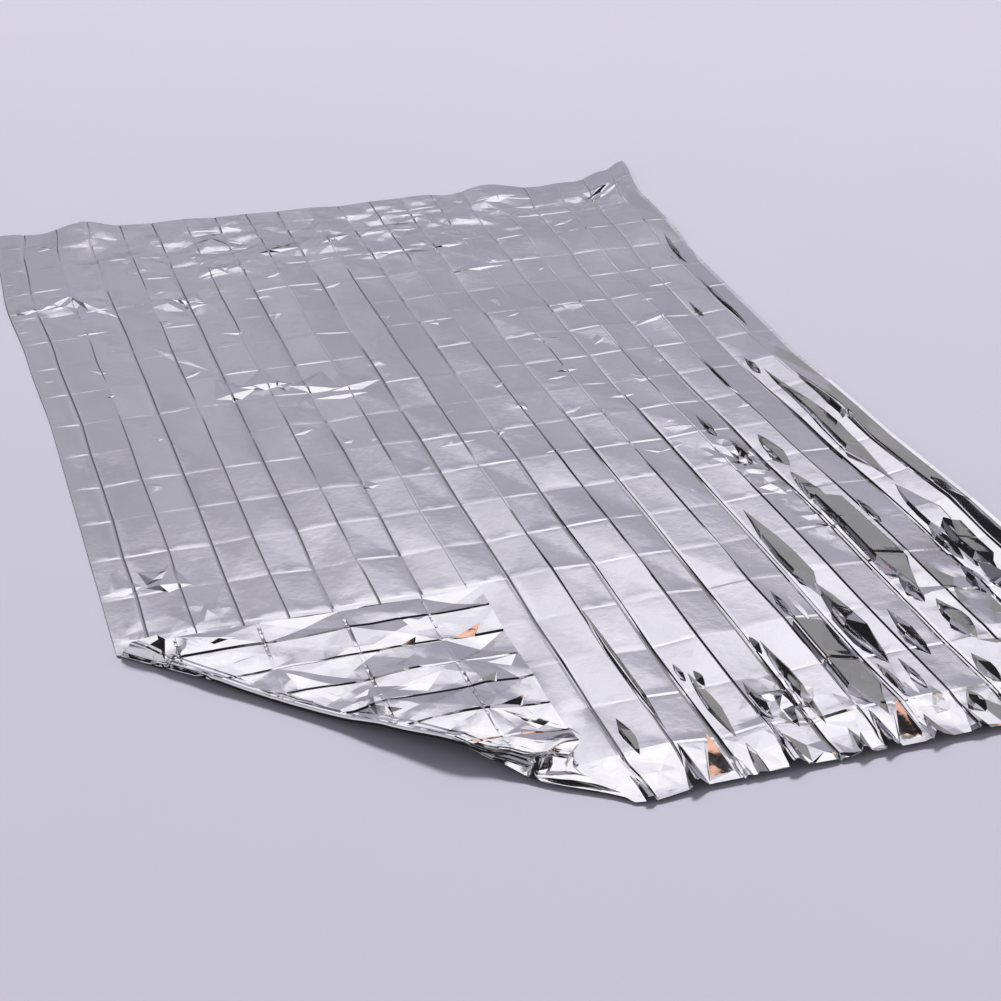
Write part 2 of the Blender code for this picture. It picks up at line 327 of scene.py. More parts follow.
# Pinched creases, each a straight ridge that tapers off at both ends and is gentler on its left side
# as seen along it.
Ridge = namedtuple("Ridge", "x1 y1 x2 y2 half_width rise")
RIDGES = (
    Ridge(0.000, 0.668, 0.060, 0.676, 0.0160, 0.0026),
    Ridge(0.066, 0.676, 0.100, 0.705, 0.0100, 0.0022),
    Ridge(0.064, 0.668, 0.128, 0.658, 0.0180, 0.0030),
    Ridge(0.270, 1.240, 0.345, 1.262, 0.0200, 0.0034),
    Ridge(0.318, 1.272, 0.402, 1.264, 0.0200, 0.0034),
    Ridge(0.398, 1.254, 0.480, 1.220, 0.0190, 0.0032),
    Ridge(0.462, 1.214, 0.552, 1.234, 0.0190, 0.0034),
    Ridge(0.379, 1.278, 0.391, 1.232, 0.0070, 0.0020),
    Ridge(0.430, 1.196, 0.520, 1.190, 0.0120, 0.0018),
    Ridge(0.000, 1.705, 0.056, 1.706, 0.0121, 0.0024),
    Ridge(0.050, 1.700, 0.110, 1.750, 0.0135, 0.0027),
    Ridge(0.106, 1.748, 0.176, 1.632, 0.0121, 0.0024),
    Ridge(0.204, 1.492, 0.285, 1.357, 0.0120, 0.0015),
    Ridge(0.275, 1.685, 0.330, 1.650, 0.0121, 0.0024),
    Ridge(0.306, 1.668, 0.296, 1.630, 0.0095, 0.0019),
    Ridge(0.340, 1.770, 0.420, 1.815, 0.0150, 0.0022),
    Ridge(0.398, 1.770, 0.360, 1.810, 0.0130, 0.0016),
    Ridge(0.470, 1.857, 0.555, 1.860, 0.0108, 0.0022),
    Ridge(0.600, 1.870, 0.660, 1.905, 0.0121, 0.0024),
    Ridge(0.665, 1.785, 0.765, 1.790, 0.0095, 0.0019),
    Ridge(0.800, 1.779, 0.865, 1.779, 0.0081, 0.0017),
    Ridge(0.800, 1.654, 0.915, 1.657, 0.0081, 0.0017),
    Ridge(1.060, 1.315, 1.150, 1.350, 0.0081, 0.0017),
    Ridge(0.850, 1.172, 0.892, 1.172, 0.0068, 0.0015),
    Ridge(0.905, 1.048, 0.955, 1.052, 0.0068, 0.0015),
    Ridge(1.180, 1.945, 1.265, 2.008, 0.0121, 0.0024),
    Ridge(1.170, 1.965, 1.240, 2.020, 0.0095, 0.0019),
)
RIDGE_GENTLE = 3.6
CREST = (0.3, 0.7)
CREST_FALL = 0.8

# Faint creases from handling, all over the back and the left.
FAINT_RIDGES = 70
FAINT_PLACES = ((0.02, 0.80), (1.16, 2.06))
FAINT_LENGTH = (0.018, 0.070)
FAINT_WIDTH = (0.0040, 0.0090)
FAINT_RISE = (0.0004, 0.0011)
FAINT_TURNED = 0.6


def faint_ridge():
    x, y = dice.uniform(*FAINT_PLACES)
    angle = dice.uniform(0.0, math.pi)
    length = dice.uniform(*FAINT_LENGTH)
    end = (x + length * math.cos(angle), y + FAINT_TURNED * length * math.sin(angle))
    return Ridge(x, y, *end, dice.uniform(*FAINT_WIDTH), dice.uniform(*FAINT_RISE))


def ridge_shape(ridge):
    """Three faces on each side of a crest that takes up the middle and falls a little along it."""
    start = np.array((ridge.x1, ridge.y1))
    run = np.array((ridge.x2, ridge.y2)) - start
    side = np.array((-run[1], run[0])) / math.hypot(*run) * ridge.half_width
    near, far = start + CREST[0] * run, start + CREST[1] * run
    middle = start + 0.5 * run
    points = [start, near, far, start + run, middle + RIDGE_GENTLE * side, middle - side]
    heights = (0.0, ridge.rise, CREST_FALL * ridge.rise, 0.0, 0.0, 0.0)
    sides = [(0, 1, 4), (1, 2, 4), (2, 3, 4), (0, 1, 5), (1, 2, 5), (2, 3, 5)]
    return shape_of(points, heights, sides)


# Blisters beside the creases, where a strip has buckled: a flat top between two steep walls, tipped
# to one side. A leaf is pointed at both ends and a blade at the back. A fang and a band run out softly
# in front, and a fin is open at the front edge.
Blister = namedtuple("Blister", "kind x front back half_width slope")
BLISTERS = (
    Blister("leaf", 1.204, 1.058, 1.128, 0.0070, 0.60),
    Blister("fang", 1.216, 0.625, 1.076, 0.0160, 0.40),
    Blister("leaf", 1.021, 0.856, 0.943, 0.0075, 0.55),
    Blister("leaf", 1.037, 0.752, 0.844, 0.0075, 0.50),
    Blister("leaf", 1.090, 0.730, 0.847, 0.0135, 0.34),
    Blister("blade", 1.082, 0.624, 0.714, 0.0140, 0.32),
    Blister("band", 1.093, 0.330, 0.622, 0.0245, 0.28),
    Blister("leaf", 1.083, 0.296, 0.374, 0.0110, 0.50),
    Blister("fang", 0.955, 0.345, 0.622, 0.0175, 0.33),
    Blister("leaf", 0.961, 0.172, 0.394, 0.0165, 0.50),
    Blister("leaf", 0.946, 0.088, 0.180, 0.0070, 0.60),
    Blister("leaf", 0.961, 0.092, 0.176, 0.0070, -0.22),
    Blister("leaf", 0.976, 0.098, 0.182, 0.0060, 0.55),
    Blister("leaf", 0.888, 0.306, 0.388, 0.0070, 0.40),
    Blister("leaf", 0.908, 0.300, 0.372, 0.0060, -0.15),
    Blister("band", 0.903, 0.058, 0.306, 0.0245, 0.165),
    Blister("leaf", 0.822, 0.072, 0.278, 0.0090, 0.50),
    Blister("leaf", 0.813, 0.246, 0.292, 0.0045, -0.50),
    Blister("leaf", 0.701, 0.076, 0.236, 0.0085, 0.36),
    Blister("leaf", 0.692, 0.218, 0.264, 0.0045, 0.70),
    Blister("leaf", 0.709, 0.196, 0.238, 0.0045, -0.60),
    Blister("leaf", 0.575, 0.078, 0.164, 0.0075, 0.42),
    Blister("leaf", 0.622, 0.116, 0.434, 0.0070, 0.62),
    Blister("leaf", 0.757, 0.092, 0.192, 0.0090, 0.55),
    Blister("leaf", 0.786, 0.074, 0.156, 0.0095, -0.55),
    Blister("fang", 1.212, 0.440, 0.620, 0.0180, 0.20),
    Blister("leaf", 1.197, 0.386, 0.494, 0.0100, 0.50),
    Blister("band", 1.222, 0.340, 0.480, 0.0170, 0.46),
    Blister("band", 1.273, 0.230, 0.610, 0.0180, 0.24),
    Blister("leaf", 1.259, 0.560, 0.900, 0.0040, 0.50),
    Blister("leaf", 1.187, 0.286, 0.384, 0.0100, 0.46),
    Blister("leaf", 1.209, 0.280, 0.372, 0.0100, -0.52),
    Blister("leaf", 1.131, 0.518, 0.602, 0.0080, 0.26),
    Blister("leaf", 1.022, 0.174, 0.296, 0.0110, 0.40),
    Blister("leaf", 1.101, 0.190, 0.300, 0.0150, 0.30),
    Blister("leaf", 1.076, 0.084, 0.162, 0.0110, 0.42),
    Blister("leaf", 1.150, 0.090, 0.192, 0.0150, 0.32),
    Blister("leaf", 1.202, 1.320, 1.394, 0.0050, 0.70),
    Blister("leaf", 1.127, 0.988, 1.158, 0.0048, 0.70),
    Blister("leaf", 1.262, 1.250, 1.500, 0.0070, 0.34),
    Blister("blade", 1.257, 0.850, 1.032, 0.0120, 0.44),
    Blister("leaf", 1.268, 1.560, 1.720, 0.0065, 0.44),
    Blister("fin", 0.541, 0.000, 0.048, 0.0100, 0.50),
    Blister("fin", 0.624, 0.000, 0.084, 0.0110, 0.56),
    Blister("fin", 0.706, 0.000, 0.060, 0.0080, 0.24),
    Blister("fin", 0.751, 0.000, 0.088, 0.0120, 0.42),
    Blister("fin", 0.842, 0.000, 0.040, 0.0080, 0.55),
    Blister("fin", 0.881, 0.000, 0.078, 0.0105, 0.60),
    Blister("fin", 0.948, 0.000, 0.054, 0.0130, 0.44),
    Blister("leaf", 1.022, 0.030, 0.082, 0.0130, 0.34),
    Blister("fin", 1.062, 0.000, 0.070, 0.0110, 0.45),
    Blister("fin", 1.134, 0.000, 0.060, 0.0100, 0.30),
    Blister("fin", 1.178, 0.000, 0.082, 0.0130, 0.50),
    Blister("fin", 1.236, 0.000, 0.080, 0.0120, 0.46),
)

# Their outlines: how wide they are at places from the front end to the back end.
Outline = namedtuple("Outline", "places widths")
OUTLINES = {
    "leaf": Outline((0.10, 0.26, 0.44, 0.62, 0.82), (0.36, 0.76, 1.00, 0.92, 0.50)),
    "blade": Outline((0.03, 0.24, 0.46, 0.68, 0.87), (0.94, 1.00, 0.84, 0.58, 0.27)),
    "band": Outline((0.16, 0.29, 0.58, 0.97), (0.50, 0.96, 1.00, 0.95)),
    "fang": Outline((0.14, 0.27, 0.45, 0.66, 0.85), (0.42, 0.95, 1.00, 0.72, 0.36)),
    "fin": Outline((0.00, 0.30, 0.62, 0.86), (1.00, 0.86, 0.52, 0.24)),
}
RIM_UNEVEN = 0.14
WALL_WIDTH = 0.0022
WALL_SHARE = 0.30
TOP_LOW = 0.0009
SLOPE_UNEVEN = 0.08


def blister_shape(blister):
    """A tipped top and its walls, from one end to the other."""
    length = blister.back - blister.front
    points = [(blister.x, blister.front)]
    heights = [0.0]
    for place, width in zip(*OUTLINES[blister.kind]):
        y = blister.front + place * length
        half = blister.half_width * width
        left, right = half * (1.0 + dice.uniform(-RIM_UNEVEN, RIM_UNEVEN, 2))
        wall = min(WALL_WIDTH, WALL_SHARE * half)
        slope = blister.slope * (1.0 + dice.uniform(-SLOPE_UNEVEN, SLOPE_UNEVEN))
        fall = abs(slope) * (left + right - 2.0 * wall)
        low = TOP_LOW * width
        tops = (low + fall, low) if slope > 0.0 else (low, low + fall)
        points += [(blister.x + out, y) for out in (-left, wall - left, right - wall, right)]
        heights += [0.0, *tops, 0.0]
    points.append((blister.x, blister.back))
    heights.append(0.0)
    last = len(points) - 1
    triangles = [(0, a, a + 1) for a in (1, 2, 3)]
    triangles += [(last, a + 1, a) for a in range(last - 4, last - 1)]
    for left in range(1, last - 4, 4):
        for a in (left, left + 1, left + 2):
            triangles += [(a, a + 1, a + 5), (a, a + 5, a + 4)]
    return shape_of(points, heights, triangles)


# Single flat facets that catch the light, each a tilted triangle with steep narrow sides.
Facet = namedtuple("Facet", "x y half_width half_length slope_x slope_y")
FACETS = (
    Facet(0.655, 0.040, 0.017, 0.030, -0.136, 0.330),
    Facet(0.911, 0.040, 0.018, 0.030, -0.076, 0.315),
    Facet(1.115, 0.045, 0.014, 0.026, -0.033, 0.302),
)
FACET_RIM = 1.16


def facet_shape(facet):
    """A triangle with its point at the back, tilted by two slopes, inside a low rim."""
    corners = np.array(((-1.0, -1.0), (1.0, -0.8), (0.1, 1.0)))
    inner = corners * (facet.half_width, facet.half_length)
    heights = inner @ (facet.slope_x, facet.slope_y)
    heights -= heights.min()
    points = np.concatenate((inner, FACET_RIM * inner)) + (facet.x, facet.y)
    triangles = [(0, 1, 2)]
    for a, b in ((0, 1), (1, 2), (2, 0)):
        triangles += [(a, b, a + 3), (b, b + 3, a + 3)]
    return shape_of(points, (*heights, 0.0, 0.0, 0.0), triangles)


# Low arches along the front edge, where a ridge runs out of it.
Arch = namedtuple("Arch", "x half_width rise reach")
ARCHES = (
    Arch(0.546, 0.0105, 0.0044, 0.045),
    Arch(0.620, 0.0135, 0.0055, 0.054),
    Arch(0.684, 0.0090, 0.0033, 0.041),
    Arch(0.752, 0.0135, 0.0055, 0.054),
    Arch(0.842, 0.0150, 0.0060, 0.054),
    Arch(0.876, 0.0075, 0.0039, 0.036),
    Arch(0.935, 0.0120, 0.0050, 0.050),
    Arch(1.000, 0.0135, 0.0055, 0.054),
    Arch(1.060, 0.0105, 0.0044, 0.045),
    Arch(1.128, 0.0150, 0.0066, 0.059),
    Arch(1.200, 0.0120, 0.0050, 0.050),
    Arch(1.256, 0.0135, 0.0060, 0.054),
)


def arch_shape(arch):
    sides = [(arch.x - arch.half_width, 0.0), (arch.x, 0.0), (arch.x + arch.half_width, 0.0)]
    points = sides + [(arch.x, arch.reach)]
    return shape_of(points, (0.0, arch.rise, 0.0, 0.0), [(0, 1, 3), (1, 2, 3)])


shapes = [patch_shape(patch) for patch in PATCHES]
shapes += [ridge_shape(ridge) for ridge in RIDGES]
shapes += [ridge_shape(faint_ridge()) for _ in range(FAINT_RIDGES)]
shapes += [blister_shape(blister) for blister in BLISTERS]
shapes += [facet_shape(facet) for facet in FACETS]
shapes += [arch_shape(arch) for arch in ARCHES]

LEAST_FACE = 1e-8
ON_FACE = -1e-5
NEAR_FACE = 1e-6


def shape_relief(shape, x, y):
    """The heights that one shape's flat faces give to points of the film."""
    relief = np.zeros(x.shape)
    for triangle in shape.triangles:
        (ax, ay), (bx, by), (cx, cy) = shape.points[triangle]
        area = (bx - ax) * (cy - ay) - (cx - ax) * (by - ay)
        if abs(area) < LEAST_FACE:
            continue
        near = (x >= min(ax, bx, cx) - NEAR_FACE) & (x <= max(ax, bx, cx) + NEAR_FACE)
        near &= (y >= min(ay, by, cy) - NEAR_FACE) & (y <= max(ay, by, cy) + NEAR_FACE)
        spots = np.nonzero(near)[0]
        px, py = x[spots], y[spots]
        b = ((px - ax) * (cy - ay) - (cx - ax) * (py - ay)) / area
        c = ((bx - ax) * (py - ay) - (px - ax) * (by - ay)) / area
        inside = (b >= ON_FACE) & (c >= ON_FACE) & (b + c <= 1.0 - ON_FACE)
        ha, hb, hc = shape.heights[triangle]
        relief[spots[inside]] = (ha * (1.0 - b - c) + hb * b + hc * c)[inside]
    return relief


def pressed_relief(x, y):
    """The heights that all the shapes give."""
    relief = np.zeros(x.shape)
    for shape in shapes:
        low = shape.points.min(axis=0) - NEAR_FACE
        high = shape.points.max(axis=0) + NEAR_FACE
        near = (x >= low[0]) & (x <= high[0]) & (y >= low[1]) & (y <= high[1])
        relief[near] += shape_relief(shape, x[near], y[near])
    return relief


# The right edge is turned up a little.
RIGHT_LIP = 0.0024
RIGHT_LIP_WIDTH = 0.0050

# The back hem is slack: it waves.
EdgePoint = namedtuple("EdgePoint", "x shift rise")
BACK_EDGE = (
    EdgePoint(0.000, 0.025, 0.001),
    EdgePoint(0.080, -0.002, 0.003),
    EdgePoint(0.168, 0.012, 0.014),
    EdgePoint(0.240, -0.010, 0.004),
    EdgePoint(0.360, -0.017, 0.007),
    EdgePoint(0.480, -0.018, 0.004),
    EdgePoint(0.655, -0.030, 0.005),
    EdgePoint(0.835, -0.032, 0.008),
    EdgePoint(0.900, -0.036, 0.004),
    EdgePoint(0.977, -0.020, 0.010),
    EdgePoint(1.095, -0.040, 0.003),
    EdgePoint(1.160, -0.036, 0.004),
    EdgePoint(1.240, 0.000, 0.006),
    EdgePoint(1.300, 0.042, 0.008),
)
BACK_BAND = 0.30
BACK_LIP = 0.18
BACK_SLACK = 0.0045
SLACK_STARTS = (1.55, 1.80)
SLACK_AT_EDGE = 0.3


def back_wave(x, y):
    """(shift along y, height) that the slack hem gives each point."""
    shift = along([Station(p.x, p.shift) for p in BACK_EDGE], x)
    rise = along([Station(p.x, p.rise) for p in BACK_EDGE], x)
    at_edge = smooth(y, LENGTH - BACK_LIP, LENGTH)
    slack = BACK_SLACK * smooth(y, *SLACK_STARTS) * (1.0 - (1.0 - SLACK_AT_EDGE) * at_edge)
    height = rise * at_edge + slack
    return shift * smooth(y, LENGTH - BACK_BAND, LENGTH), height


# ---- The turned corner ---------------------------------------------------------------------------
# The front left corner is folded back over the film along a line at 45 degrees. Its fold is round
# and partly lifts off the floor, and the corner shows the film's other face with its pleats reversed.

CORNER_LEG = 0.500
TURN_RADIUS = 0.005
TURN_STEPS = 8
QUARTER_TURN = math.pi * TURN_RADIUS / 2.0
FLAP_GAP = 0.0095
PLEAT_PRESSED = 0.35
PRESSED_MARGIN = 0.050
SIDE_HEIGHT = 0.3
FOLD_LIFT = (
    Station(0.000, 0.000),
    Station(0.050, 0.001),
    Station(0.085, 0.003),
    Station(0.150, 0.006),
    Station(0.220, 0.004),
    Station(0.310, 0.004),
    Station(0.420, 0.017),
    Station(0.500, 0.023),
    Station(0.560, 0.013),
    Station(0.610, 0.004),
    Station(0.707, 0.002),
)
LIFT_REACH = 0.260
GAP_REACH = 0.090

# The turn seen from its end, at places along the fold: how far inwards and how high above the lower
# layer its nine points are, in millimetres. It is round, but near its left end two slits part the
# layers. At its right end the turned edge is drawn back from a steep plain face, and beyond that the
# film between the layers is gathered into stripes that fan out to the front edge.
Turn = namedtuple("Turn", "run inward rise")
TURNS = (
    Turn(0.000, (0, -1.5, -1.5, 0, 12, 2, -1, -1.5, 0), (0, 0.8, 1.8, 2.6, 5.0, 8.0, 9.0, 10.5, 12.0)),
    Turn(0.030, (0, -1.5, -1.5, 0, 12, 2, -1, -1.5, 0), (0, 0.8, 1.8, 2.6, 4.6, 7.0, 8.0, 9.5, 11.0)),
    Turn(0.072, (0, -1.0, -2.0, -2.6, -3, -2.6, -2, -1.0, 0), (0, 0.4, 1.5, 3.1, 4.8, 6.4, 8.0, 9.1, 9.5)),
    Turn(0.082, (0, -1.0, -1.0, 0, 16, 4, 0, -1.0, 0), (0, 0.6, 1.2, 1.8, 4.0, 8.5, 9.5, 11.0, 12.5)),
    Turn(0.110, (0, -1.0, -1.0, 0, 12, 2, -1, -1.0, 0), (0, 0.6, 1.2, 1.8, 4.0, 6.5, 8.0, 9.5, 11.0)),
    Turn(0.145, (0, -1.9, -3.5, -4.6, -5, -4.6, -3.5, -1.9, 0), (0, 0.4, 1.5, 3.1, 4.8, 6.4, 8.0, 9.1, 9.5)),
    Turn(0.500, (0, -1.9, -3.5, -4.6, -5, -4.6, -3.5, -1.9, 0), (0, 0.4, 1.5, 3.1, 4.8, 6.4, 8.0, 9.1, 9.5)),
    Turn(0.527, (0, -1.5, -2.0, -2.0, -1, -1, -2, -1.5, 0), (0, 0.6, 1.4, 2.2, 3.0, 6.0, 7.5, 8.8, 9.8)),
    Turn(0.597, (0, 5, 10, 15, 19, 19, 20, 18, 19), (0, 0.4, 0.8, 1.2, 1.6, 6.0, 9.0, 10.5, 12.0)),
    Turn(0.601, (0, 4, 9, 13, 17, 21, 24, 24, 23), (0, 1.5, 3.4, 5.0, 6.5, 8.0, 9.1, 11.0, 12.8)),
    Turn(0.613, (0, 1.5, 3, 4.5, 7, 9, 13, 30, 30), (0, 0.7, 1.2, 2.2, 2.8, 4.0, 5.0, 11.5, 14.0)),
    Turn(0.625, (0, 0.5, 4, 5, 9, 10, 19, 35, 34), (0, 1.0, 1.5, 3.5, 4.2, 5.8, 6.6, 12.8, 14.4)),
    Turn(0.640, (0, 0, 4, 4.5, 11, 12, 24, 37, 37), (0, 1.4, 2.0, 6.0, 7.0, 10.4, 11.4, 14.0, 14.5)),
    Turn(0.665, (0, 0, 5, 5.5, 14, 15, 29, 42, 41), (0, 1.8, 2.6, 8.4, 9.6, 12.6, 13.8, 14.2, 14.5)),
    Turn(0.690, (0, 0, 6, 6.5, 17, 18, 32, 46, 45), (0, 1.8, 2.7, 8.4, 9.8, 12.4, 13.4, 13.6, 13.8)),
    Turn(0.707, (0, 0, 6, 6.5, 18, 19, 34, 48, 50), (0, 1.8, 2.7, 8.2, 9.6, 12.2, 13.2, 13.6, 13.8)),
)
DRAWN_LEFT = (
    Station(0.575, 0.000),
    Station(0.605, 0.003),
    Station(0.650, 0.026),
    Station(0.707, 0.064),
)
DRAWN_REACH = 0.170
END_SHIFT = (0.026, 0.001)
END_REACH = 0.095

# The turned corner has low pleats of its own and rises slowly away from the fold.
FLAP_PLEAT = 0.0020
FLAP_LIP = 0.003
FLAP_CLEAR = 0.003
FLAP_RISE = 0.020
FLAP_SETTLES = 0.060
FLAP_UNEVEN = 0.0030
FLAP_BOW = 0.0050
FLAP_LINE = 0.0016
FLAP_LINE_HALF = 0.0029
FLAP_CROSS_SHARE = 0.50
RELIEF_STARTS = 0.013
LEAST_CLEARANCE = 0.0012


def flap_heights():
    """How high the turned corner stands where creases meet: its ridges are the film's valleys."""
    x, y = np.meshgrid(STRIP_STOPS, ROW_STOPS)
    lip = FLAP_LIP * (np.minimum(x, y) < FIRST_STRIP / 2.0)
    return FLAP_PLEAT * (1.0 - pleat(x)) + lip + FLAP_UNEVEN * meeting_table()


turned_heights = flap_heights()
turned_bows = FLAP_BOW * meeting_table()
turned_strength = dice.uniform(0.15, 1.50, MEETINGS)


# Where the fold runs out at the left edge, the corner fans out from one point into narrow pleats.
RimPoint = namedtuple("RimPoint", "x height")
FAN_POINT = (0.055, 0.449)
RIM_INSET = 0.0002
FAN_RIM = (
    RimPoint(0.001, 0.0030),
    RimPoint(0.028, 0.0068),
    RimPoint(0.054, 0.0085),
    RimPoint(0.064, 0.0000),
)


def fan_shape(point, rim):
    """Pleats from the point to the rim, which is the film's left edge once it is turned over."""
    lying = [point] + [(place.x, CORNER_LEG - RIM_INSET) for place in rim]
    points = [(CORNER_LEG - y, CORNER_LEG - x) for x, y in lying]
    heights = [0.0] + [place.height for place in rim]
    triangles = [(0, n, n + 1) for n in range(1, len(rim))]
    return shape_of(points, heights, triangles)


shapes.append(fan_shape(FAN_POINT, FAN_RIM))

# Dips in the corner that face the light. Each is a flat triangle that starts level with the film along
# its back and sinks towards one point. Its place and slopes are those of the corner as it lies.
Dip = namedtuple("Dip", "x y half_width depth slope_x slope_y")
DIPS = (
    Dip(0.442, 0.278, 0.017, 0.0065, -0.204, 0.380),
    Dip(0.456, 0.216, 0.021, 0.0065, -0.202, 0.375),
    Dip(0.452, 0.404, 0.026, 0.0070, -0.211, 0.403),
    Dip(0.370, 0.398, 0.014, 0.0050, -0.230, 0.402),
    Dip(0.280, 0.298, 0.014, 0.0046, -0.235, 0.400),
    Dip(0.127, 0.480, 0.028, 0.0026, 0.050, 0.190),
    Dip(0.352, 0.300, 0.040, 0.0055, -0.050, 0.180),
    Dip(0.400, 0.440, 0.034, 0.0050, 0.110, 0.160),
    Dip(0.225, 0.352, 0.034, 0.0055, 0.130, 0.150),
    Dip(0.470, 0.170, 0.020, 0.0045, 0.060, 0.170),
    Dip(0.475, 0.320, 0.022, 0.0045, -0.040, 0.190),
    Dip(0.300, 0.250, 0.024, 0.0040, 0.120, 0.150),
)
DIP_SIDE = 0.0016


def dip_shape(dip):
    """A tilted triangle and the two steep sides that face away from the light."""
    steep = math.hypot(dip.slope_x, dip.slope_y)
    up = np.array((dip.slope_x, dip.slope_y)) / steep
    level = np.array((up[1], -up[0])) * dip.half_width
    centre = np.array((dip.x, dip.y))
    low = centre - up * dip.depth / steep
    lying = np.stack((centre - level, centre + level, low, low - up * DIP_SIDE))
    points = CORNER_LEG - lying[:, ::-1]
    return shape_of(points, (0.0, 0.0, -dip.depth, 0.0), [(0, 1, 2), (0, 2, 3), (2, 1, 3)])


shapes += [dip_shape(dip) for dip in DIPS]


def fold_place(x, y):
    """(along the fold line from the left edge, across it), the latter negative in the turned corner."""
    return (x - y + CORNER_LEG) / math.sqrt(2.0), (x + y - CORNER_LEG) / math.sqrt(2.0)


def from_fold(run, across):
    """The point at this place along and across the fold line."""
    return (run + across) / math.sqrt(2.0), (across - run) / math.sqrt(2.0) + CORNER_LEG


def fold_lift(run, across):
    """How far the film is lifted at this distance inside the turned edge."""
    return along(FOLD_LIFT, run) * (1.0 - smooth(across, 0.0, LIFT_REACH))


def under_flap(x, y):
    """1 where the turned corner presses the film, fading to 0 around it."""
    outside = np.maximum(x - CORNER_LEG, y - CORNER_LEG)
    return 1.0 - smooth(outside, 0.0, PRESSED_MARGIN)


def film_height(x, y):
    """The height of the film where it isn't turned over. Its left edge lies down."""
    relief = over_cells(ridge_heights, bows, x, y) + long_lines(x, y) + cross_lines(x, y)
    relief = relief + pressed_relief(x, y) + back_wave(x, y)[1]
    relief = relief + RIGHT_LIP * np.clip((x - WIDTH) / RIGHT_LIP_WIDTH + 1.0, 0.0, 1.0)
    relief = np.maximum(relief, 0.0) * (1.0 - under_flap(x, y) * (1.0 - PLEAT_PRESSED))
    relief = relief * (SIDE_HEIGHT + (1.0 - SIDE_HEIGHT) * smooth(x, 0.0, FIRST_STRIP))
    return relief + fold_lift(*fold_place(x, y))


# Near the turned edge the corner has thin creases that run along the fold.
FoldCrease = namedtuple("FoldCrease", "distance half_width depth waves")
FOLD_CREASES = (
    FoldCrease(0.0040, 0.0015, 0.0011, 11.0),
    FoldCrease(0.0105, 0.0018, 0.0009, 17.0),
)


def flap_lines(x, y):
    """Grooves on the turned corner, one for each crease of the film, and shallower on cross creases."""
    long_groove = np.clip(1.0 - to_long_crease(x)[0] / FLAP_LINE_HALF, 0.0, 1.0)
    cross_groove = np.clip(1.0 - np.abs(to_cross_crease(y)[0]) / FLAP_LINE_HALF, 0.0, 1.0)
    strength = at_meetings(turned_strength, x, y)
    return -FLAP_LINE * strength * np.maximum(long_groove, FLAP_CROSS_SHARE * cross_groove)


def fold_lines(run, across):
    depth = np.zeros(across.shape)
    for crease in FOLD_CREASES:
        off = np.abs(-across - QUARTER_TURN - crease.distance)
        swing = 0.5 + np.sin(crease.waves * run)
        swing = swing + 0.4 * np.sin(3.1 * crease.waves * run)
        strength = np.clip(swing, 0.0, 1.0)
        depth -= crease.depth * strength * np.clip(1.0 - off / crease.half_width, 0.0, 1.0)
    return depth


def flap_relief(x, y):
    """The turned corner's relief, which shows the creases from their other side."""
    return over_cells(turned_heights, turned_bows, x, y) + pressed_relief(x, y) + flap_lines(x, y)


# The edges drift in and out where the film was pulled straight unevenly.
LEFT_DRIFT = (
    Station(0.00, 0.000),
    Station(1.20, 0.000),
    Station(1.50, -0.008),
    Station(1.75, -0.018),
    Station(1.95, -0.012),
    Station(2.09, 0.004),
)
RIGHT_DRIFT = (
    Station(0.00, 0.000),
    Station(0.45, -0.009),
    Station(0.85, -0.024),
    Station(1.10, -0.032),
    Station(1.35, -0.025),
    Station(1.60, -0.020),
    Station(1.75, -0.007),
    Station(1.92, 0.000),
    Station(2.09, 0.028),
)
FRONT_DRIFT = (
    Station(0.48, 0.000),
    Station(0.55, -0.008),
    Station(0.65, 0.000),
    Station(1.30, 0.000),
)
DRIFT_REACH = (0.30, 0.60)


def flat_place(x, y):
    """Where the points that lie flat are."""
    left = along(LEFT_DRIFT, y) * (1.0 - smooth(x, 0.0, DRIFT_REACH[0]))
    right = along(RIGHT_DRIFT, y) * smooth(x, WIDTH - DRIFT_REACH[1], WIDTH)
    front = along(FRONT_DRIFT, x) * (1.0 - smooth(y, 0.0, FIRST_ROW))
    inner = smooth(np.minimum(x, WIDTH - x), 0.0, FIRST_STRIP)
    inner = inner * smooth(np.minimum(y, LENGTH - y), 0.0, FIRST_ROW)
    ridge = RIDGE_SHIFT * pleat(x) * front_right(x, y)
    wander_x = (MEETING_WANDER[0] * at_meetings(meeting_wander[0], x, y) + ridge) * inner
    wander_y = MEETING_WANDER[1] * at_meetings(meeting_wander[1], x, y) * inner
    return x + left + right + wander_x, y + front + back_wave(x, y)[0] + wander_y, film_height(x, y)


def turned(values, run, step):
    """What the sections of the turn give, in metres, between this step's two points."""
    runs = [turn.run for turn in TURNS]
    columns = np.array([np.interp(run, runs, column) for column in np.array(values).T])
    before = np.clip(step.astype(int), 0, TURN_STEPS - 1)
    each = np.arange(run.size)
    low, high = columns[before, each], columns[before + 1, each]
    return (low + (step - before) * (high - low)) / 1000.0


def turn_inward(run, step):
    return turned([turn.inward for turn in TURNS], run, step)


def turn_rise(run, step):
    return turned([turn.rise for turn in TURNS], run, step)


def drawn(run, across):
    """(run, across) of the turned corner's points once its right end is drawn back."""
    held = 1.0 - smooth(across, 0.0, DRAWN_REACH)
    back = turn_inward(run, np.full(run.shape, float(TURN_STEPS)))
    return run - held * along(DRAWN_LEFT, run), across + held * back


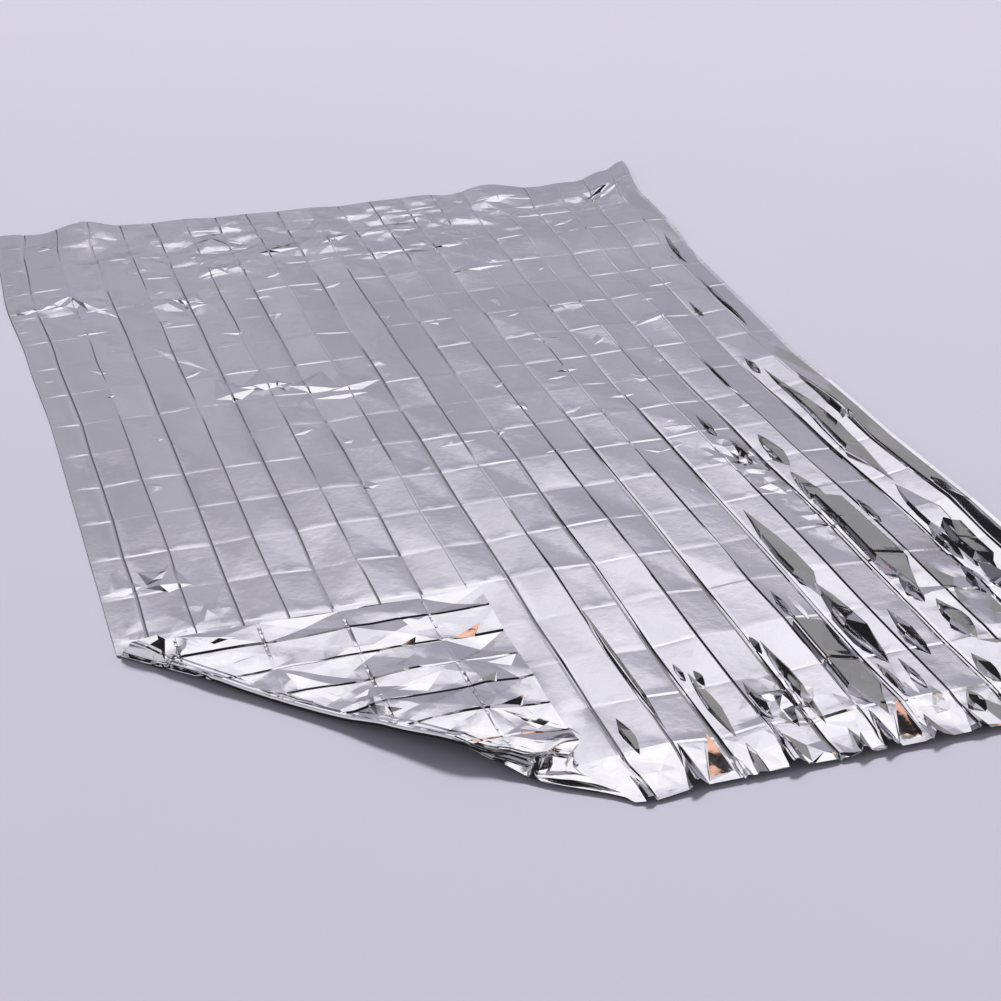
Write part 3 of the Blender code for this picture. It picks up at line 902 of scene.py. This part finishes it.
def turn_place(run, across):
    """Where the points of the turn are."""
    step = (QUARTER_TURN - across) / QUARTER_TURN / 2.0 * TURN_STEPS
    last = np.full(run.shape, float(TURN_STEPS))
    rise = turn_rise(run, step)
    held = 1.0 - smooth(np.full(run.shape, QUARTER_TURN), 0.0, DRAWN_REACH)
    left = held * along(DRAWN_LEFT, run) * rise / turn_rise(run, last)
    x, y = from_fold(run - left, QUARTER_TURN + held * turn_inward(run, step))
    return x, y, film_height(*from_fold(run, np.full(run.shape, QUARTER_TURN))) + rise


def flap_place(x, y):
    """Where the points of the turned corner are: they lie upside down on the film."""
    run, across = fold_place(x, y)
    foot = film_height(*from_fold(run, QUARTER_TURN)) - fold_lift(run, QUARTER_TURN)
    settled = smooth(-across, QUARTER_TURN, FLAP_SETTLES)
    gap = turn_rise(run, np.full(run.shape, float(TURN_STEPS)))
    gap = FLAP_GAP + (gap - FLAP_GAP) * (1.0 - smooth(-across, QUARTER_TURN, GAP_REACH))
    base = foot + (FLAP_CLEAR - foot) * settled + fold_lift(run, -across) + gap - FLAP_RISE * across
    lying_x, lying_y = from_fold(*drawn(run, -across))
    clear = film_height(lying_x, lying_y) + LEAST_CLEARANCE
    shown = smooth(-across, QUARTER_TURN, RELIEF_STARTS)
    height = base + shown * flap_relief(x, y) + fold_lines(run, across)
    return lying_x, lying_y, np.maximum(height, clear)


def lying_place(x, y):
    """Where each point of the film lies."""
    run, across = fold_place(x, y)
    places = np.stack(flat_place(x, y))
    turning = np.abs(across) < QUARTER_TURN
    places[:, turning] = turn_place(run[turning], across[turning])
    over = across <= -QUARTER_TURN
    places[:, over] = flap_place(x[over], y[over])
    held = 1.0 - smooth(np.hypot(places[0] - CORNER_LEG, places[1]), 0.0, END_REACH)
    places[:2] += np.outer(END_SHIFT, held)
    return places.T


# ---- The film as one mesh, and its finish --------------------------------------------------------
# Aluminium vapour is laid on the film on both sides, so it is a slightly uneven mirror. The mesh has
# an edge on every crease, facet and bend, so that each is as sharp as the film holds it.

STRIP_FILL = 4
ROW_FILL = 8
NEAR_SAME = 1e-5
SHARP_TURN = math.radians(6.0)


def with_fill(stops, flanks, fill):
    """(places of creases and their flanks, the same with even steps between the stops)."""
    creases = sorted({round(stop + flank, 6) for stop in stops[1:-1] for flank in flanks(stop)})
    steps = [np.linspace(before, after, fill + 1) for before, after in zip(stops, stops[1:])]
    filled = sorted({round(place, 6) for place in np.concatenate(steps)} | set(creases))
    return creases, filled


def long_flanks(x):
    """How far from a long crease its relief changes slope."""
    if to_long_crease(x)[1]:
        return -TROUGH_HALF, -GROOVE_HALF, 0.0, GROOVE_HALF, TROUGH_HALF
    return -RIDGE_GROOVE_HALF, 0.0, RIDGE_GROOVE_HALF


def turn_lines():
    """Distances across the fold line at which the film has an edge so that it can bend."""
    bends = [QUARTER_TURN * (1.0 - 2.0 * step / TURN_STEPS) for step in range(TURN_STEPS + 1)]
    bends += [side * (QUARTER_TURN + FLAP_SETTLES / 2.0) for side in (-1.0, 1.0)]
    for crease in FOLD_CREASES:
        for side in (-1.0, 0.0, 1.0):
            bends.append(-(QUARTER_TURN + crease.distance + side * crease.half_width))
    return bends


def in_corner(stops):
    """The creases that reach the turned corner."""
    return [stop for stop in stops[1:] if stop < CORNER_LEG]


def film_edges():
    """(points, pairs of them): every edge that the film's mesh must have, and fill between them."""
    long_creases, columns = with_fill(STRIP_STOPS, long_flanks, STRIP_FILL)
    cross_creases, rows = with_fill(ROW_STOPS, lambda y: CROSS_PLACES, ROW_FILL)
    points = [(x, y) for x in columns for y in rows]
    pairs = []

    def add(a, b):
        pairs.append((len(points), len(points) + 1))
        points.extend((tuple(a), tuple(b)))

    for x in long_creases:
        add((x, 0.0), (x, LENGTH))
    for y in cross_creases:
        add((0.0, y), (WIDTH, y))
    add((WIDTH - RIGHT_LIP_WIDTH, 0.0), (WIDTH - RIGHT_LIP_WIDTH, LENGTH))
    for x in in_corner(STRIP_STOPS):
        for side in (-FLAP_LINE_HALF, FLAP_LINE_HALF):
            add((x + side, 0.0), (x + side, CORNER_LEG - x - side))
    for y in in_corner(ROW_STOPS):
        for side in (-FLAP_LINE_HALF, FLAP_LINE_HALF):
            add((0.0, y + side), (CORNER_LEG - y - side, y + side))
    for left, right in zip(STRIP_STOPS, STRIP_STOPS[1:]):
        for front, back in zip(ROW_STOPS, ROW_STOPS[1:]):
            add((left, front), (right, back))
            add((right, front), (left, back))
    for distance in turn_lines():
        reach = CORNER_LEG + math.sqrt(2.0) * distance
        add((0.0, reach), (reach, 0.0))
    for shape in shapes:
        start = len(points)
        points.extend(map(tuple, shape.points))
        ends = np.concatenate([shape.triangles[:, pair] for pair in ((0, 1), (1, 2), (2, 0))])
        pairs.extend(map(tuple, np.unique(np.sort(ends + start, axis=1), axis=0).tolist()))
    return points, pairs


def film_mesh():
    """The film laid down, with its flat places kept as texture coordinates."""
    points, pairs = film_edges()
    corners = [Vector(point) for point in points]
    flat, _, faces, *_ = delaunay_2d_cdt(corners, pairs, [], 0, NEAR_SAME, False)
    x, y = np.array([tuple(point) for point in flat]).T
    lying = lying_place(x, y)
    lying -= (*MIDDLE, 0.0)
    lying[:, 2] = np.maximum(lying[:, 2], 0.0)
    mesh = bpy.data.meshes.new("film")
    mesh.from_pydata(lying.tolist(), [], faces)
    loops = np.empty(len(mesh.loops), dtype=np.int32)
    mesh.loops.foreach_get("vertex_index", loops)
    layer = mesh.uv_layers.new(name="flat")
    layer.uv.foreach_set("vector", np.stack((x[loops], y[loops]), axis=1).ravel())
    mesh.shade_smooth()
    mesh.set_sharp_from_angle(angle=SHARP_TURN)
    return mesh


def put(tree, socket, value):
    """Sets an input of a node, or links it where the value is another node's output."""
    if isinstance(value, bpy.types.NodeSocket):
        tree.links.new(value, socket)
    else:
        socket.default_value = value


def add_node(tree, kind, inputs):
    """A new node with these inputs, by name."""
    node = tree.nodes.new("ShaderNode" + kind)
    for name, value in inputs.items():
        put(tree, node.inputs[name], value)
    return node


def change_range(tree, value, before, after):
    """Stretches a range of values to another one."""
    ends = {"From Min": before[0], "From Max": before[1], "To Min": after[0], "To Max": after[1]}
    return add_node(tree, "MapRange", {"Value": value, **ends}).outputs["Result"]


def new_material(name):
    """(the material, its node tree, its shader, its place output)."""
    material = bpy.data.materials.new(name)
    material.use_nodes = True
    tree = material.node_tree
    place = tree.nodes.new("ShaderNodeTexCoord").outputs["Object"]
    return material, tree, tree.nodes["Principled BSDF"], place


def film_material():
    """Bare metal, duller in cloudy patches and finely dimpled."""
    material, tree, shader, place = new_material("metallised film")
    shader.inputs["Metallic"].default_value = 1.0
    clouds = add_node(tree, "TexNoise", {"Vector": place, "Scale": 9.0, "Detail": 5.0})
    tint = add_node(tree, "ValToRGB", {"Fac": clouds.outputs["Fac"]})
    tint.color_ramp.elements[0].color = (0.86, 0.85, 0.88, 1.0)
    tint.color_ramp.elements[1].color = (0.91, 0.905, 0.92, 1.0)
    put(tree, shader.inputs["Base Color"], tint.outputs["Color"])
    dulling = change_range(tree, clouds.outputs["Fac"], (0.35, 0.70), (0.06, 0.13))
    put(tree, shader.inputs["Roughness"], dulling)

    wrinkles = {"Vector": place, "Scale": 26.0, "Detail": 3.0, "Distortion": 0.6}
    swell = {"Strength": 0.055, "Distance": 0.0040}
    swell["Height"] = add_node(tree, "TexNoise", wrinkles).outputs["Fac"]
    dimples = {"Vector": place, "Scale": 85.0, "Detail": 4.0}
    bump = {"Strength": 0.11, "Distance": 0.0012}
    bump["Height"] = add_node(tree, "TexNoise", dimples).outputs["Fac"]
    bump["Normal"] = add_node(tree, "Bump", swell).outputs["Normal"]
    put(tree, shader.inputs["Normal"], add_node(tree, "Bump", bump).outputs["Normal"])
    return material


film = bpy.data.objects.new("film", film_mesh())
bpy.context.scene.collection.objects.link(film)
film.data.materials.append(film_material())
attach(film, "root")
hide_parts("foil_sheet")

# ---- Floor ---------------------------------------------------------------------------------------
# A seamless sheet of matt paper in pale lilac grey, which carries the blanket and its soft shadow.
# Its colour holds painted light: it is painted a little lighter towards the back right, where more light
# falls.

FLOOR_HALF = 14.0
FLOOR_COLOUR = (0.672, 0.662, 0.758)
PAINTED_LIGHT_TOWARDS = (0.55, 1.0, 0.0)
PAINTED_LIGHT_FROM = (-1.6, 2.6)
PAINTED_LIGHT_RANGE = (0.90, 1.09)
GRAIN = (0.985, 1.005)


def paper_material():
    """Matt paper with a faint grain, and painted light that makes its colour lighter towards the back right.
    """
    material, tree, shader, place = new_material("studio paper")
    shader.inputs["Roughness"].default_value = 0.9
    shader.inputs["Specular IOR Level"].default_value = 0.1
    # Painted light: the paper's colour is scaled up towards the back right, as if more light fell there.
    towards = tree.nodes.new("ShaderNodeVectorMath")
    towards.operation = "DOT_PRODUCT"
    put(tree, towards.inputs[0], place)
    put(tree, towards.inputs[1], PAINTED_LIGHT_TOWARDS)
    painted_light = change_range(tree, towards.outputs["Value"], PAINTED_LIGHT_FROM, PAINTED_LIGHT_RANGE)
    grain = add_node(tree, "TexNoise", {"Vector": place, "Scale": 3.0})
    tone = change_range(tree, grain.outputs["Fac"], (0.0, 1.0), GRAIN)
    both = tree.nodes.new("ShaderNodeMath")
    both.operation = "MULTIPLY"
    put(tree, both.inputs[0], tone)
    put(tree, both.inputs[1], painted_light)
    paper = tree.nodes.new("ShaderNodeVectorMath")
    paper.operation = "SCALE"
    put(tree, paper.inputs[0], FLOOR_COLOUR)
    put(tree, paper.inputs["Scale"], both.outputs["Value"])
    put(tree, shader.inputs["Base Color"], paper.outputs["Vector"])
    return material


floor_mesh = bpy.data.meshes.new("floor")
corners = [(-FLOOR_HALF, -FLOOR_HALF, 0.0), (FLOOR_HALF, -FLOOR_HALF, 0.0)]
corners += [(FLOOR_HALF, FLOOR_HALF, 0.0), (-FLOOR_HALF, FLOOR_HALF, 0.0)]
floor_mesh.from_pydata(corners, [], [(0, 1, 2, 3)])
floor = bpy.data.objects.new("floor", floor_mesh)
floor.data.materials.append(paper_material())
floor.location.z = -0.0005
floor.visible_glossy = False
bpy.context.scene.collection.objects.link(floor)

# ---- Studio light --------------------------------------------------------------------------------
# The film shows what stands round it: a pale wall, large soft boxes with dark gaps between them, and
# a warm card. They are the world's light by direction. One soft lamp shades the floor.

world = bpy.data.worlds.new("studio")
world.use_nodes = True
bpy.context.scene.world = world
studio = world.node_tree


def work(operation, first, second=0.0):
    """The result of a sum on directions."""
    node = studio.nodes.new("ShaderNodeMath")
    node.operation = operation
    put(studio, node.inputs[0], first)
    put(studio, node.inputs[1], second)
    return node.outputs[0]


def ramp(value, low, high):
    """0 below low, 1 above high, and an S-curve between them."""
    node = add_node(studio, "MapRange", {"Value": value, "From Min": low, "From Max": high})
    node.interpolation_type = "SMOOTHSTEP"
    return node.outputs["Result"]


def below(value, low, high):
    """1 below low, 0 above high."""
    return work("SUBTRACT", 1.0, ramp(value, low, high))


def band(value, low, high, edge):
    """1 between low and high, with soft edges."""
    return work("MULTIPLY", ramp(value, low - edge, low + edge), below(value, high - edge, high + edge))


def painted(under, colour, mask):
    """The colour laid over what is there, as far as the mask lets it."""
    node = studio.nodes.new("ShaderNodeMix")
    node.data_type = "RGBA"
    put(studio, node.inputs["Factor"], mask)
    colours = [socket for socket in node.inputs if socket.type == "RGBA"]
    put(studio, colours[0], under)
    put(studio, colours[1], (*colour, 1.0))
    return next(socket for socket in node.outputs if socket.type == "RGBA")


# Every direction as its turn to the right of straight back, and its height, both in degrees.
direction = studio.nodes.new("ShaderNodeTexCoord").outputs["Generated"]
sides = add_node(studio, "SeparateXYZ", {"Vector": direction}).outputs
turn = work("MULTIPLY", work("ARCTAN2", sides["X"], sides["Y"]), 180.0 / math.pi)
height = work("MULTIPLY", work("ARCSINE", sides["Z"]), 180.0 / math.pi)

LOW_WALL = (0.340, 0.330, 0.385)
WALL = (0.430, 0.416, 0.485)
FAR_WALL = (0.392, 0.379, 0.444)
DIM_WALL = (0.155, 0.150, 0.170)
DARK_WALL = (0.300, 0.297, 0.302)
GAP = (0.016, 0.016, 0.019)
SOFT_GLOW = (0.88, 0.865, 0.94)
SOFT_BOX = (1.05, 1.04, 1.07)
SIDE_BOX = (0.62, 0.61, 0.65)
REAR_WALL = (0.12, 0.12, 0.128)
REAR_LOW_WALL = (0.36, 0.352, 0.385)
CEILING = (0.32, 0.32, 0.335)
WARM_CARD = (1.0, 0.58, 0.42)

# The wall brightens upwards and to the right into the large soft box in front of the blanket.
slant = work("ADD", height, work("MULTIPLY", turn, 0.13))
in_front = band(turn, -8.0, 53.0, 2.5)
seen = painted((*LOW_WALL, 1.0), WALL, ramp(slant, 13.0, 24.5))
far_right = work("MULTIPLY", ramp(turn, 9.0, 19.0), below(height, 27.0, 31.0))
seen = painted(seen, FAR_WALL, far_right)
seen = painted(seen, SOFT_GLOW, work("MULTIPLY", in_front, ramp(slant, 28.2, 38.2)))
seen = painted(seen, SOFT_BOX, work("MULTIPLY", in_front, ramp(slant, 38.2, 47.5)))

# To its lower right the studio is unlit: a dull wall, then darkness. To its left the wall is dim.
right_side = work("SUBTRACT", turn, work("MULTIPLY", work("SUBTRACT", height, 24.0), 0.5))
seen = painted(seen, DARK_WALL, ramp(right_side, 35.0, 38.5))
seen = painted(seen, GAP, ramp(right_side, 46.0, 50.0))
seen = painted(seen, DIM_WALL, band(turn, -50.0, -9.5, 2.5))
seen = painted(seen, GAP, band(turn, -50.0, -27.0, 4.0))
seen = painted(seen, GAP, band(turn, 56.0, 76.0, 3.0))
warm = work("MULTIPLY", band(turn, 57.0, 72.0, 1.5), band(height, 45.0, 62.5, 1.5))
seen = painted(seen, WARM_CARD, warm)

# Beside the blanket stand two dimmer boxes, and behind the camera a dull wall, lighter low down.
# Overhead is a gap, and the ceiling above it.
aside = work("ABSOLUTE", turn)
seen = painted(seen, SIDE_BOX, ramp(aside, 80.0, 90.0))
behind = ramp(aside, 120.0, 135.0)
seen = painted(seen, REAR_WALL, behind)
seen = painted(seen, REAR_LOW_WALL, work("MULTIPLY", behind, below(height, 28.0, 50.0)))
seen = painted(seen, GAP, band(height, 63.0, 79.0, 2.0))
seen = painted(seen, CEILING, ramp(height, 79.0, 84.0))
seen = painted(seen, GAP, below(height, 0.0, 8.0))

# Nothing out there is quite even.
clouds = add_node(studio, "TexNoise", {"Vector": direction, "Scale": 9.0, "Detail": 2.0})
uneven = change_range(studio, clouds.outputs["Fac"], (0.3, 0.7), (0.84, 1.16))
shade = studio.nodes.new("ShaderNodeVectorMath")
shade.operation = "SCALE"
put(studio, shade.inputs[0], seen)
put(studio, shade.inputs["Scale"], uneven)
background = studio.nodes["Background"]
put(studio, background.inputs["Color"], shade.outputs["Vector"])
put(studio, background.inputs["Strength"], 1.0)

LAMP_TURN = 28.0
LAMP_HEIGHT = 49.0
LAMP_SPREAD = 13.0

lamp = bpy.data.lights.new("back lamp", "SUN")
lamp.energy = 2.56
lamp.angle = math.radians(LAMP_SPREAD)
lamp.color = (1.0, 0.985, 1.0)
lamp_holder = bpy.data.objects.new("back lamp", lamp)
lamp_angles = (math.radians(90.0 - LAMP_HEIGHT), 0.0, math.radians(180.0 - LAMP_TURN))
lamp_holder.rotation_euler = Euler(lamp_angles)
lamp_holder.visible_glossy = False
bpy.context.scene.collection.objects.link(lamp_holder)

# ---- Camera --------------------------------------------------------------------------------------
# A normal lens at standing height, in front of the blanket and to its left.

CAMERA_PLACE = (-0.8694, -2.8905, 1.4750)
CAMERA_DOWN = 28.415
CAMERA_RIGHT = 17.746
CAMERA_LENS = 73.75

camera = bpy.data.objects.new("camera", bpy.data.cameras.new("camera"))
camera.data.lens = CAMERA_LENS
camera.data.sensor_width = 36.0
camera.location = CAMERA_PLACE
camera.rotation_euler = Euler((math.radians(90.0 - CAMERA_DOWN), 0.0, math.radians(-CAMERA_RIGHT)))
camera.data.clip_end = 60.0
bpy.context.scene.collection.objects.link(camera)
bpy.context.scene.camera = camera
bpy.context.scene.view_settings.view_transform = "Standard"
